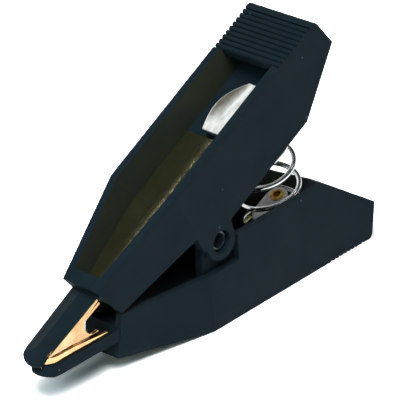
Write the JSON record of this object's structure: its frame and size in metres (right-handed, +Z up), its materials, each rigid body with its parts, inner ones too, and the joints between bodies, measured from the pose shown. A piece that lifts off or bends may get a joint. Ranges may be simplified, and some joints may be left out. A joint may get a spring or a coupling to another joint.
{
  "type": "kelvin test clip",
  "caption": "Spring-loaded kelvin test clip with two moulded levers, separate gold-plated jaws and wire channels, for four-wire resistance measurement.",
  "frame": {"origin": "centre of the footprint on the table, with the clip lying on the outer flat of its lower lever", "axes": "+X from the jaws to the handle ends, +Y along the hinge axis, +Z up"},
  "size_m": [0.0598, 0.0114, 0.0356],
  "materials": {
    "lever_plastic": "semi-matte moulded",
    "contact_gold": "polished gold plating",
    "saddle_tin": "bright tin plating",
    "guide_tin": "bright tin plating",
    "rivet_brass": "drawn",
    "stud_plastic": "moulded",
    "spring_steel": "bright drawn wire"
  },
  "bodies": {
    "lower": {"lower_lever": "lever_plastic", "lower_contact": "contact_gold", "lower_saddle": "saddle_tin", "lower_guide": "guide_tin", "lower_rivet": "rivet_brass", "near_stud": "stud_plastic", "spring": "spring_steel"},
    "upper": {"upper_lever": "lever_plastic", "upper_contact": "contact_gold", "upper_saddle": "saddle_tin", "upper_guide": "guide_tin", "upper_rivet": "rivet_brass", "far_stud": "stud_plastic"}
  },
  "joints": [
    {"name": "clip_hinge", "type": "hinge", "parent": "lower", "child": "upper", "pos_m": [0.0002, 0, 0.0122], "axis": [0, 1, 0], "range_deg": [0, 28], "stiffness_Nm_per_rad": 0.22, "springref_deg": -22.92, "deforming": ["spring"]}
  ]
}
